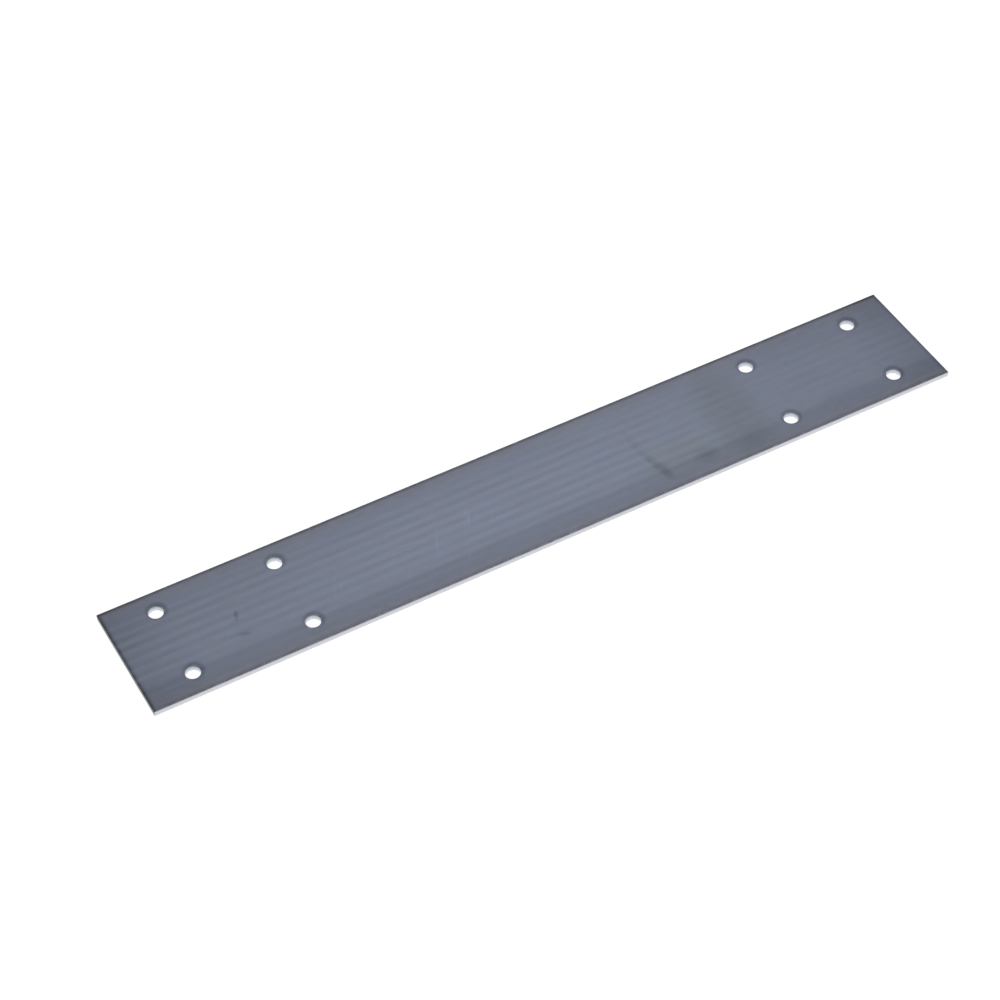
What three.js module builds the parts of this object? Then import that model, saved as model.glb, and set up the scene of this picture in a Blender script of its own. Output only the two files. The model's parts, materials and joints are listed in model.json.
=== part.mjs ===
// Blade plate of a small snow plow: a flat steel bar that bolts along the lower edge of the plow.
// It has a rectangular group of bolt holes near each end and is the same either way up and either way round,
// so that a worn plate can be turned to bring its other long edge down.
//
// Millimetres. +X runs along the plate, +Y across it, +Z up through its thickness.
// The origin is the centre of the underside, on the plane that the plate lies on.

import * as THREE from "three";

const INCH = 25.4;

// The flat bar that the plate is cut from.
const PLATE_LENGTH = 26.25 * INCH;
const PLATE_WIDTH = 4 * INCH;
const PLATE_THICKNESS = 0.1875 * INCH;
const EDGE_BREAK = 0.4; // chamfer that takes the sharpness off every rim

// The bolt holes, which clear 3/8 inch bolts.
const HOLE_DIAMETER = 0.4375 * INCH;
const HOLE_SIDES = 64;
const END_MARGIN = 1.5 * INCH; // from an end of the plate to its outer column of holes
const COLUMN_PITCH = 3.6875 * INCH; // from an outer column to the inner one of the same group
const ROW_SPACING = 2.5 * INCH; // between the two rows that run along the plate

// The centres of the holes: two columns near each end, each with a hole in both rows.
function holeCentres() {
  const outerColumn = PLATE_LENGTH / 2 - END_MARGIN;
  const columns = [outerColumn, outerColumn - COLUMN_PITCH];
  const centres = [];
  for (const end of [-1, 1]) {
    for (const column of columns) {
      for (const side of [-1, 1]) {
        centres.push(new THREE.Vector2(end * column, (side * ROW_SPACING) / 2));
      }
    }
  }
  return centres;
}

// The plate seen from above: a rectangle with a round hole at each centre.
function plateOutline() {
  const outline = new THREE.Shape();
  outline.moveTo(-PLATE_LENGTH / 2, -PLATE_WIDTH / 2);
  outline.lineTo(PLATE_LENGTH / 2, -PLATE_WIDTH / 2);
  outline.lineTo(PLATE_LENGTH / 2, PLATE_WIDTH / 2);
  outline.lineTo(-PLATE_LENGTH / 2, PLATE_WIDTH / 2);
  outline.closePath();
  for (const centre of holeCentres()) {
    const hole = new THREE.Path();
    hole.absarc(centre.x, centre.y, HOLE_DIAMETER / 2, 0, 2 * Math.PI, true);
    outline.holes.push(hole);
  }
  return outline;
}

// The outline given its thickness, with the edge break round the outside and round both rims of each hole.
function plateGeometry() {
  const geometry = new THREE.ExtrudeGeometry(plateOutline(), {
    depth: PLATE_THICKNESS - 2 * EDGE_BREAK,
    curveSegments: HOLE_SIDES / 2,
    bevelEnabled: true,
    bevelThickness: EDGE_BREAK,
    bevelSize: EDGE_BREAK,
    bevelOffset: -EDGE_BREAK,
    bevelSegments: 1,
  });
  geometry.translate(0, 0, EDGE_BREAK);
  return geometry;
}

const bareSteel = new THREE.MeshStandardMaterial({
  name: "bare_steel",
  color: 0x767e8e,
  metalness: 0.9,
  roughness: 0.42,
});

const bladePlate = new THREE.Mesh(plateGeometry(), bareSteel);
bladePlate.name = "blade_plate";

const plowBlade = new THREE.Group();
plowBlade.add(bladePlate);

export default plowBlade;
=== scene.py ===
import json
import math
import random

import bmesh
import bpy
from bpy.props import FloatProperty, FloatVectorProperty, IntProperty, PointerProperty
from mathutils import Matrix, Vector


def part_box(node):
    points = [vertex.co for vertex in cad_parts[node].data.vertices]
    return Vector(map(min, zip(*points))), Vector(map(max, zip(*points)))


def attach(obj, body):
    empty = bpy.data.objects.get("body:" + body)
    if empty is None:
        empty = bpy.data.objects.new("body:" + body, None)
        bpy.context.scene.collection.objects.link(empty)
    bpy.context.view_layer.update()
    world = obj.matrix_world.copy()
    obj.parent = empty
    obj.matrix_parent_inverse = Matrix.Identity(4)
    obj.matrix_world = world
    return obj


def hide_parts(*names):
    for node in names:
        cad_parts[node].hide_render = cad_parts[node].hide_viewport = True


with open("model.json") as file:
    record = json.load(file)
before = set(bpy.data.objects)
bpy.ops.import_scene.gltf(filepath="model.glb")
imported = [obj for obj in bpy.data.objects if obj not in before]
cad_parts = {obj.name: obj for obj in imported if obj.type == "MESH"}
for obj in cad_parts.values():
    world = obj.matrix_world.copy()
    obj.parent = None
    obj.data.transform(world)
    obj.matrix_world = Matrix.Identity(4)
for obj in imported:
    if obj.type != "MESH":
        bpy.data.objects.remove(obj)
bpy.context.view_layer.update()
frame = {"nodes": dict(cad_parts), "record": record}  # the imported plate, in metres: +X along it, +Y across it, +Z up through its thickness

# A flat steel blade plate for a small snow plow, as it comes from the shear and the punch: rolled faces with
# the straightener's lines along them, bright slit long edges, dark ends, and eight punched bolt holes.

bl_info = {
    "name": "Plow Blade Plate",
    "version": (1, 0, 0),
    "blender": (4, 5, 0),
    "location": "View3D > Sidebar > Plow Blade",
    "description": "Builds a punched steel blade plate and the pale studio that it lies in",
    "category": "Object",
}

MM = 0.001
HAIR = 0.001 * MM  # less than this between two places counts as none

# What the frame says about the plate.
CAD_NODE = "blade_plate"
CAD_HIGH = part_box(CAD_NODE)[1]  # its furthest corner along, across and up
HALF_LENGTH = CAD_HIGH.x
HALF_WIDTH = CAD_HIGH.y
THICKNESS = CAD_HIGH.z
HOLE_CENTRES = [
    tuple((low + high) / 2 for low, high in zip(*opening["box_m"]))[:2]
    for opening in frame["record"]["physics"]["openings"]
]
# The solid's nearest points to a hole's middle are on that hole's wall.
HOLE_RADIUS = min(
    math.hypot(vertex.co.x - HOLE_CENTRES[0][0], vertex.co.y - HOLE_CENTRES[0][1])
    for vertex in frame["nodes"][CAD_NODE].data.vertices
)

# Which of the plate's materials covers which part of it.
FACE, LONG_EDGE, END_EDGE, HOLE_WALL = range(4)


class PlateSettings(bpy.types.PropertyGroup):
    """Sizes and colours of the blade plate."""

    rollover: FloatProperty(
        name="Roll-over",
        description="How far the shear and the punch pull the top face's rim down",
        default=0.35 * MM,
        min=0.05 * MM,
        subtype="DISTANCE",
        precision=5,
    )
    burnish: FloatProperty(
        name="Burnish",
        description="Depth of the smooth band that the blade leaves below the roll-over",
        default=1.7 * MM,
        min=0.5 * MM,
        subtype="DISTANCE",
        precision=5,
    )
    breakout: FloatProperty(
        name="Breakout",
        description="How far the torn lower part of a cut edge stands back",
        default=0.14 * MM,
        min=0.0,
        subtype="DISTANCE",
        precision=5,
    )
    wander: FloatProperty(
        name="Wander",
        description="How far a cut edge strays inwards from a straight line",
        default=0.06 * MM,
        min=0.0,
        subtype="DISTANCE",
        precision=5,
    )
    line_shift: FloatProperty(
        name="Line Shift",
        description="How far in front of the plate's middle the nearest straightener line runs",
        default=1.1 * MM,
        subtype="DISTANCE",
        precision=5,
    )
    line_pitch: FloatProperty(
        name="Line Pitch",
        description="Distance between the lines that the straightener leaves along the plate",
        default=8.72 * MM,
        min=1 * MM,
        subtype="DISTANCE",
        precision=5,
    )
    face_colour: FloatVectorProperty(
        name="Face Colour",
        description="Rolled steel of the two faces",
        default=(0.351, 0.396, 0.518),
        size=3,
        min=0.0,
        max=1.0,
        subtype="COLOR",
    )
    stain_colour: FloatVectorProperty(
        name="Stain Colour",
        description="Rolled steel where a film of oxide makes it greyer",
        default=(0.351, 0.369, 0.443),
        size=3,
        min=0.0,
        max=1.0,
        subtype="COLOR",
    )
    smear_colour: FloatVectorProperty(
        name="Smear Colour",
        description="Rolled steel under the broad smear and the haze, which is a little greener",
        default=(0.350, 0.395, 0.480),
        size=3,
        min=0.0,
        max=1.0,
        subtype="COLOR",
    )
    slit_colour: FloatVectorProperty(
        name="Slit Edge Colour",
        description="Clean metal of the two long edges",
        default=(0.570, 0.577, 0.605),
        size=3,
        min=0.0,
        max=1.0,
        subtype="COLOR",
    )
    # The hole walls' colour is held dark as painted shade of the hole's depth, darkest in the upper band.
    punched_shaded_colour: FloatVectorProperty(
        name="Punched Wall Colour",
        description="Polished metal of the upper part of the hole walls, darkened by painted shade",
        default=(0.450, 0.465, 0.500),
        size=3,
        min=0.0,
        max=1.0,
        subtype="COLOR",
    )
    end_colour: FloatVectorProperty(
        name="End Colour",
        description="Dull metal of the two sheared ends",
        default=(0.050, 0.053, 0.060),
        size=3,
        min=0.0,
        max=1.0,
        subtype="COLOR",
    )
    hole_sides: IntProperty(
        name="Hole Sides",
        description="Points of the cage round each hole, before it is smoothed",
        default=16,
        min=8,
        step=4,
    )
    smoothing: IntProperty(
        name="Smoothing",
        description="Subdivision levels of the finished plate",
        default=2,
        min=1,
        max=3,
    )


class StageSettings(bpy.types.PropertyGroup):
    """The floor, the light and the camera."""

    floor_colour: FloatVectorProperty(
        name="Floor Colour",
        description="Pale floor that the plate lies on",
        default=(0.5, 0.5, 0.5),
        size=3,
        min=0.0,
        max=1.0,
        subtype="COLOR",
    )
    floor_glow: FloatProperty(
        name="Floor Glow",
        description="Light that comes up through the floor, which keeps it white",
        default=0.84,
        min=0.0,
    )
    room_light: FloatProperty(
        name="Room Light",
        description="Strength of the even light from all round",
        default=0.463,
        min=0.0,
    )
    panel_power: FloatProperty(
        name="Panel Power",
        description="Power of the soft panel that stands behind the plate",
        default=0.20,
        min=0.0,
        unit="POWER",
    )
    panel_size: FloatVectorProperty(
        name="Panel Size",
        description="Width and height of the soft panel",
        default=(0.55, 0.50),
        size=2,
        min=0.01,
        unit="LENGTH",
    )
    panel_place: FloatVectorProperty(
        name="Panel Place",
        description="Where the soft panel's middle is",
        default=(0.340, 0.652, 0.800),
        size=3,
        subtype="TRANSLATION",
    )
    fill_power: FloatProperty(
        name="Fill Power",
        description="Power of the long, weak panel that stands in front of the plate",
        default=0.30,
        min=0.0,
        unit="POWER",
    )
    fill_size: FloatVectorProperty(
        name="Fill Size",
        description="Width and height of the weak panel",
        default=(1.20, 0.60),
        size=2,
        min=0.01,
        unit="LENGTH",
    )
    fill_place: FloatVectorProperty(
        name="Fill Place",
        description="Where the weak panel's middle is",
        default=(0.0, -1.10, 0.50),
        size=3,
        subtype="TRANSLATION",
    )
    aim: FloatVectorProperty(
        name="Camera Aim",
        description="The point that the camera looks at",
        default=(-28.07 * MM, 8.31 * MM, 0.0),
        size=3,
        subtype="TRANSLATION",
        precision=5,
    )
    lens: FloatProperty(
        name="Lens",
        description="Focal length of the camera",
        default=96.6,
        min=1.0,
        subtype="DISTANCE_CAMERA",
    )
    azimuth: FloatProperty(
        name="Azimuth",
        description="Direction that the camera stands in, from straight in front of the long edge",
        default=math.radians(-27.78),
        subtype="ANGLE",
    )
    elevation: FloatProperty(
        name="Elevation",
        description="Height of the camera above the floor, as an angle",
        default=math.radians(47.11),
        subtype="ANGLE",
    )
    roll: FloatProperty(
        name="Roll",
        description="Turn of the camera about its line of sight",
        default=math.radians(-1.67),
        subtype="ANGLE",
    )
    distance: FloatProperty(
        name="Distance",
        description="From the camera to the point that it looks at",
        default=1.985,
        min=0.1,
        subtype="DISTANCE",
    )


# ---------------------------------------------------------------- the plate's cage


def spread(start, stop, widest):
    """Places between start and stop, evenly spaced, at most widest apart, and without the two ends."""
    count = max(1, math.ceil((stop - start - HAIR) / widest))
    return [start + (stop - start) * step / count for step in range(1, count)]


def cage_lines(half_size, centres, rim, hold, block, block_steps, widest):
    """Places of the cage's lines in one direction: two by each rim, and a block of them by each hole."""
    lines = [rim - half_size, hold - half_size]
    for centre in centres:
        start = centre - block
        lines += spread(lines[-1], start, widest)
        lines += [start + 2 * block * step / block_steps for step in range(block_steps + 1)]
    lines += spread(lines[-1], half_size - hold, widest)
    return lines + [half_size - hold, half_size - rim]


def walk_round(first_i, first_j, last_i, last_j):
    """Grid places once round a rectangle, anticlockwise from its first corner."""
    places = [(i, first_j) for i in range(first_i, last_i)]
    places += [(last_i, j) for j in range(first_j, last_j)]
    places += [(i, last_j) for i in range(last_i, first_i, -1)]
    return places + [(first_i, j) for j in range(last_j, first_j, -1)]


def join_loops(cage, outer, inner, material):
    """Faces between two closed loops of vertices that have the same number of points."""
    for k in range(len(outer)):
        following = (k + 1) % len(outer)
        face = cage.faces.new((outer[k], outer[following], inner[following], inner[k]))
        face.material_index = material(k) if callable(material) else material
        face.smooth = True


def add_sheet(cage, lines_x, lines_y, blocks, height, rings):
    """One face of the plate, with its rim and its holes left open. Returns the rim and the hole loops."""
    # Inside a block the grid has no faces and no points of its own, because rings fill it.
    covered = {
        (i, j)
        for first_i, first_j, steps, _ in blocks
        for i in range(first_i, first_i + steps)
        for j in range(first_j, first_j + steps)
    }
    inside = {
        (i, j)
        for first_i, first_j, steps, _ in blocks
        for i in range(first_i + 1, first_i + steps)
        for j in range(first_j + 1, first_j + steps)
    }
    grid = {
        (i, j): cage.verts.new((x, y, height))
        for i, x in enumerate(lines_x)
        for j, y in enumerate(lines_y)
        if (i, j) not in inside
    }
    for i in range(len(lines_x) - 1):
        for j in range(len(lines_y) - 1):
            if (i, j) not in covered:
                corners = ((i, j), (i + 1, j), (i + 1, j + 1), (i, j + 1))
                face = cage.faces.new([grid[corner] for corner in corners])
                face.material_index = FACE
                face.smooth = True
    hole_loops = []
    for first_i, first_j, steps, centre in blocks:
        loop = [grid[place] for place in walk_round(first_i, first_j, first_i + steps, first_j + steps)]
        for radius in rings:
            ring = circle(cage, centre, radius, height, len(loop))
            join_loops(cage, loop, ring, FACE)
            loop = ring
        hole_loops.append(loop)
    rim = [grid[place] for place in walk_round(0, 0, len(lines_x) - 1, len(lines_y) - 1)]
    return rim, hole_loops


def circle(cage, centre, radius, height, sides):
    """A loop of cage points that smooths to a circle of this radius, from a block's first corner on."""
    # Smoothing draws a point a third of the way towards the middle of its two neighbours.
    shrink = (2 + math.cos(2 * math.pi / sides)) / 3
    first_corner = -3 * math.pi / 4
    points = []
    for k in range(sides):
        angle = 2 * math.pi * k / sides + first_corner
        x = centre[0] + radius / shrink * math.cos(angle)
        y = centre[1] + radius / shrink * math.sin(angle)
        points.append(cage.verts.new((x, y, height)))
    return points


def plate_cage(settings):
    """The plate as a coarse cage: two sheets, and between them the cut walls with roll-over and breakout."""
    rollover = settings.rollover
    sides = settings.hole_sides
    rim = rollover  # from a cut to the sheet's first line
    hold = 2.6 * rollover  # from a cut to its second line, which keeps the sheet flat up to the first
    block = 12 * MM  # half the size of the square of cage round each hole
    longest_along = 36 * MM
    longest_across = 45 * MM

    # A cut wall from its top to its bottom, as its distance back from the true outline and its height.
    tear_top = THICKNESS - rollover - settings.burnish
    wall = [
        (0.0, THICKNESS - rollover),  # foot of the roll-over
        (0.0, THICKNESS - 0.5 * (rollover + settings.burnish)),  # middle of the smooth band
        (0.0, tear_top + rollover),  # low in the smooth band
        (0.6 * settings.breakout, 0.7 * tear_top),  # where the tear slopes back
        (settings.breakout, 2.0 * rollover),  # the tear, fully back
        (settings.breakout, 0.8 * rollover),  # just above the bottom rim
    ]

    columns = sorted({round(x, 6) for x, _ in HOLE_CENTRES})
    rows = sorted({round(y, 6) for _, y in HOLE_CENTRES})
    steps = sides // 4
    lines_x = cage_lines(HALF_LENGTH, columns, rim, hold, block, steps, longest_along)
    lines_y = cage_lines(HALF_WIDTH, rows, rim, hold, block, steps, longest_across)
    blocks = []
    for x in columns:
        for y in rows:
            first_i = min(range(len(lines_x)), key=lambda i: abs(lines_x[i] - (x - block)))
            first_j = min(range(len(lines_y)), key=lambda j: abs(lines_y[j] - (y - block)))
            blocks.append((first_i, first_j, steps, (x, y)))

    cage = bmesh.new()
    rings = (HOLE_RADIUS + hold, HOLE_RADIUS + rim)
    top_rim, top_loops = add_sheet(cage, lines_x, lines_y, blocks, THICKNESS, rings)
    low_rim, low_loops = add_sheet(cage, lines_x, lines_y, blocks, 0.0, rings)

    # The outline's walls, which stray a little inwards from straight lines.
    stray_seed = 12
    chance = random.Random(stray_seed)
    stray = [chance.uniform(0.0, settings.wander) for _ in top_rim]
    reach = Vector((HALF_LENGTH - rim, HALF_WIDTH - rim))

    def edge_material(k):
        ahead = top_rim[(k + 1) % len(top_rim)].co
        on_long_edge = min(abs(top_rim[k].co.y), abs(ahead.y)) > reach.y - HAIR
        return LONG_EDGE if on_long_edge else END_EDGE

    loop = top_rim
    for level, (back, height) in enumerate(wall):
        points = []
        for k, start in enumerate(top_rim):
            x, y = start.co.x, start.co.y
            if abs(x) > reach.x - HAIR:
                x = math.copysign(HALF_LENGTH - back - stray[k], x)
            if abs(y) > reach.y - HAIR:
                y = math.copysign(HALF_WIDTH - back - stray[k], y)
            points.append(cage.verts.new((x, y, height)))
        join_loops(cage, loop, points, FACE if level == 0 else edge_material)
        loop = points
    join_loops(cage, loop, low_rim, edge_material)

    # The holes' walls.
    for top, low, (_, _, _, centre) in zip(top_loops, low_loops, blocks):
        loop = top
        for level, (back, height) in enumerate(wall):
            points = circle(cage, centre, HOLE_RADIUS + back, height, sides)
            join_loops(cage, loop, points, FACE if level == 0 else HOLE_WALL)
            loop = points
        join_loops(cage, loop, low, HOLE_WALL)

    bmesh.ops.recalc_face_normals(cage, faces=cage.faces)
    return cage


# ---------------------------------------------------------------- the plate's materials


def rolled_face_material(settings):
    """Bare rolled steel, with everything that shows on the plate's two faces."""
    material = bpy.data.materials.new("rolled_face")
    material.use_nodes = True
    nodes = material.node_tree.nodes
    links = material.node_tree.links
    nodes.clear()

    # Where the point is, on the plate and on a quarter of it with the rest folded over.
    place = nodes.new("NodeFrame")
    place.label = "Where on the plate"
    point = nodes.new("ShaderNodeTexCoord")
    point.label = "Point on the plate"
    axes = nodes.new("ShaderNodeSeparateXYZ")
    axes.label = "Along, across, up"
    folded = nodes.new("ShaderNodeVectorMath")
    folded.label = "Folded to one quarter"
    folded.operation = "ABSOLUTE"
    folded_axes = nodes.new("ShaderNodeSeparateXYZ")
    folded_axes.label = "Out from the middle"
    flat_point = nodes.new("ShaderNodeCombineXYZ")
    flat_point.label = "Laid flat"
    for step, node in enumerate((point, axes, folded, folded_axes, flat_point)):
        node.parent = place
        node.location = (180 * step, 0)
    links.new(point.outputs["Object"], axes.inputs["Vector"])
    links.new(point.outputs["Object"], folded.inputs[0])
    links.new(folded.outputs["Vector"], folded_axes.inputs["Vector"])
    links.new(folded_axes.outputs["X"], flat_point.inputs["X"])
    links.new(folded_axes.outputs["Y"], flat_point.inputs["Y"])

    # Clouds of oxide and oil, large and small. A cloud on one face isn't repeated on the other.
    clouds = nodes.new("NodeFrame")
    clouds.label = "Oxide and oil"
    large_size = nodes.new("ShaderNodeMapping")
    large_size.label = "Size of the large clouds"
    large_size.vector_type = "TEXTURE"
    large_size.inputs["Scale"].default_value = (110 * MM, 55 * MM, 3 * MM)
    large_cloud = nodes.new("ShaderNodeTexNoise")
    large_cloud.label = "Large clouds"
    large_cloud.inputs["Scale"].default_value = 1.0
    large_cloud.inputs["Detail"].default_value = 3.0
    large_cloud.inputs["Distortion"].default_value = 0.5
    small_size = nodes.new("ShaderNodeMapping")
    small_size.label = "Size of the small clouds"
    small_size.vector_type = "TEXTURE"
    small_size.inputs["Scale"].default_value = (22 * MM, 12 * MM, 1 * MM)
    small_cloud = nodes.new("ShaderNodeTexNoise")
    small_cloud.label = "Small clouds"
    small_cloud.inputs["Scale"].default_value = 1.0
    small_cloud.inputs["Detail"].default_value = 5.0
    small_cloud.inputs["Roughness"].default_value = 0.6
    mottle_size = nodes.new("ShaderNodeMapping")
    mottle_size.label = "Size of the mottle"
    mottle_size.vector_type = "TEXTURE"
    mottle_size.inputs["Scale"].default_value = (8 * MM, 4 * MM, 1 * MM)
    mottle = nodes.new("ShaderNodeTexNoise")
    mottle.label = "Mottle"
    mottle.inputs["Scale"].default_value = 1.0
    mottle.inputs["Detail"].default_value = 3.0
    mottle.inputs["Distortion"].default_value = 0.4
    for step, node in enumerate((large_size, large_cloud, small_size, small_cloud, mottle_size, mottle)):
        node.parent = clouds
        node.location = (180 * step, -300)
    links.new(point.outputs["Object"], large_size.inputs["Vector"])
    links.new(large_size.outputs["Vector"], large_cloud.inputs["Vector"])
    links.new(point.outputs["Object"], small_size.inputs["Vector"])
    links.new(small_size.outputs["Vector"], small_cloud.inputs["Vector"])
    links.new(point.outputs["Object"], mottle_size.inputs["Vector"])
    links.new(mottle_size.outputs["Vector"], mottle.inputs["Vector"])

    # Lines along the plate from the straightener's rollers, stronger in some stretches than in others.
    lines = nodes.new("NodeFrame")
    lines.label = "Straightener lines"
    line_wander = nodes.new("ShaderNodeMath")
    line_wander.label = "Lines wander a little"
    line_wander.operation = "MULTIPLY_ADD"
    line_wander.inputs[1].default_value = 2.4 * MM
    line_turn = nodes.new("ShaderNodeMath")
    line_turn.label = "One turn for each line"
    line_turn.operation = "MULTIPLY_ADD"
    line_turn.inputs[1].default_value = 2 * math.pi / settings.line_pitch
    line_turn.inputs[2].default_value = 2 * math.pi * (0.25 + settings.line_shift / settings.line_pitch)
    line_wave = nodes.new("ShaderNodeMath")
    line_wave.label = "Crest and hollow"
    line_wave.operation = "SINE"
    line_stretch = nodes.new("ShaderNodeMapping")
    line_stretch.label = "Length of a stretch"
    line_stretch.vector_type = "TEXTURE"
    line_stretch.inputs["Scale"].default_value = (26 * MM, 7 * MM, 7 * MM)
    line_noise = nodes.new("ShaderNodeTexNoise")
    line_noise.label = "Stretches that took more"
    line_noise.inputs["Scale"].default_value = 1.0
    line_noise.inputs["Detail"].default_value = 2.0
    line_power = nodes.new("ShaderNodeMapRange")
    line_power.label = "Least and most strength"
    line_power.inputs["From Min"].default_value = 0.35
    line_power.inputs["From Max"].default_value = 0.65
    line_power.inputs["To Min"].default_value = 0.25
    line_power.inputs["To Max"].default_value = 1.0
    line_edge = nodes.new("ShaderNodeMapRange")
    line_edge.label = "None near the long edges"
    line_edge.interpolation_type = "SMOOTHSTEP"
    line_edge.inputs["From Min"].default_value = HALF_WIDTH - 8 * MM
    line_edge.inputs["From Max"].default_value = HALF_WIDTH - 26 * MM
    line_fade = nodes.new("ShaderNodeMapRange")
    line_fade.label = "Fainter towards the right"
    line_fade.interpolation_type = "SMOOTHSTEP"
    line_fade.inputs["From Min"].default_value = 110 * MM
    line_fade.inputs["From Max"].default_value = 190 * MM
    line_fade.inputs["To Min"].default_value = 1.0
    line_fade.inputs["To Max"].default_value = 0.4
    line_part = nodes.new("ShaderNodeMath")
    line_part.label = "Stretch and edge"
    line_part.operation = "MULTIPLY"
    line_kept = nodes.new("ShaderNodeMath")
    line_kept.label = "Strength here"
    line_kept.operation = "MULTIPLY"
    line_shade = nodes.new("ShaderNodeMath")
    line_shade.label = "Lines"
    line_shade.operation = "MULTIPLY"
    for step, node in enumerate(
        (line_wander, line_turn, line_wave, line_stretch, line_noise, line_power, line_edge, line_fade,
         line_part, line_kept, line_shade)
    ):
        node.parent = lines
        node.location = (180 * step, -700)
    links.new(large_cloud.outputs["Fac"], line_wander.inputs[0])
    links.new(axes.outputs["Y"], line_wander.inputs[2])
    links.new(line_wander.outputs["Value"], line_turn.inputs[0])
    links.new(line_turn.outputs["Value"], line_wave.inputs[0])
    links.new(point.outputs["Object"], line_stretch.inputs["Vector"])
    links.new(line_stretch.outputs["Vector"], line_noise.inputs["Vector"])
    links.new(line_noise.outputs["Fac"], line_power.inputs["Value"])
    links.new(folded_axes.outputs["Y"], line_edge.inputs["Value"])
    links.new(axes.outputs["X"], line_fade.inputs["Value"])
    links.new(line_power.outputs["Result"], line_part.inputs[0])
    links.new(line_edge.outputs["Result"], line_part.inputs[1])
    links.new(line_part.outputs["Value"], line_kept.inputs[0])
    links.new(line_fade.outputs["Result"], line_kept.inputs[1])
    links.new(line_wave.outputs["Value"], line_shade.inputs[0])
    links.new(line_kept.outputs["Value"], line_shade.inputs[1])

    # The grain of rolled steel: long streaks, from a few millimetres wide down to hairlines.
    grain = nodes.new("NodeFrame")
    grain.label = "Rolling grain"
    broad_size = nodes.new("ShaderNodeMapping")
    broad_size.label = "Size of the broad streaks"
    broad_size.vector_type = "TEXTURE"
    broad_size.inputs["Scale"].default_value = (150 * MM, 3 * MM, 3 * MM)
    broad_grain = nodes.new("ShaderNodeTexNoise")
    broad_grain.label = "Broad streaks"
    broad_grain.inputs["Scale"].default_value = 1.0
    broad_grain.inputs["Detail"].default_value = 3.0
    broad_grain.inputs["Roughness"].default_value = 0.6
    fine_size = nodes.new("ShaderNodeMapping")
    fine_size.label = "Size of the hairlines"
    fine_size.vector_type = "TEXTURE"
    fine_size.inputs["Scale"].default_value = (24 * MM, 0.4 * MM, 0.4 * MM)
    fine_grain = nodes.new("ShaderNodeTexNoise")
    fine_grain.label = "Hairlines"
    fine_grain.inputs["Scale"].default_value = 1.0
    fine_grain.inputs["Detail"].default_value = 3.0
    fine_grain.inputs["Roughness"].default_value = 0.7
    for step, node in enumerate((broad_size, broad_grain, fine_size, fine_grain)):
        node.parent = grain
        node.location = (180 * step, -1100)
    links.new(point.outputs["Object"], broad_size.inputs["Vector"])
    links.new(broad_size.outputs["Vector"], broad_grain.inputs["Vector"])
    links.new(point.outputs["Object"], fine_size.inputs["Vector"])
    links.new(fine_size.outputs["Vector"], fine_grain.inputs["Vector"])

    # Margins: a greyer border, ends darkened by painted shade, a darker rear, a dark line along the rim that
    # is darkest at the rear and on the left, and a dark band near the front edge.
    border = nodes.new("NodeFrame")
    border.label = "Margins"
    from_end = nodes.new("ShaderNodeMath")
    from_end.label = "In from the nearer end"
    from_end.operation = "SUBTRACT"
    from_end.inputs[0].default_value = HALF_LENGTH
    from_side = nodes.new("ShaderNodeMath")
    from_side.label = "In from the nearer long edge"
    from_side.operation = "SUBTRACT"
    from_side.inputs[0].default_value = HALF_WIDTH
    from_rim = nodes.new("ShaderNodeMath")
    from_rim.label = "In from the rim"
    from_rim.operation = "SMOOTH_MIN"
    from_rim.inputs[2].default_value = 3 * MM
    uneven_rim = nodes.new("ShaderNodeMath")
    uneven_rim.label = "Uneven border"
    uneven_rim.operation = "MULTIPLY_ADD"
    uneven_rim.inputs[1].default_value = 12 * MM
    margin = nodes.new("ShaderNodeMapRange")
    margin.label = "Border"
    margin.interpolation_type = "SMOOTHSTEP"
    margin.inputs["From Min"].default_value = 20 * MM
    margin.inputs["From Max"].default_value = 7 * MM
    rim_line = nodes.new("ShaderNodeMapRange")
    rim_line.label = "Line along the rim"
    rim_line.interpolation_type = "SMOOTHSTEP"
    rim_line.inputs["From Min"].default_value = 4.5 * MM
    rim_line.inputs["From Max"].default_value = 0.5 * MM
    rear_line = nodes.new("ShaderNodeMapRange")
    rear_line.label = "Line along the rear rim"
    rear_line.interpolation_type = "SMOOTHSTEP"
    rear_line.inputs["From Min"].default_value = HALF_WIDTH - 4.5 * MM
    rear_line.inputs["From Max"].default_value = HALF_WIDTH - 0.5 * MM
    left_line = nodes.new("ShaderNodeMapRange")
    left_line.label = "Line along the left rim"
    left_line.interpolation_type = "SMOOTHSTEP"
    left_line.inputs["From Min"].default_value = 2.8 * MM - HALF_LENGTH
    left_line.inputs["From Max"].default_value = 0.3 * MM - HALF_LENGTH
    dark_line = nodes.new("ShaderNodeMath")
    dark_line.label = "The darker of the two"
    dark_line.operation = "MAXIMUM"
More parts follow.
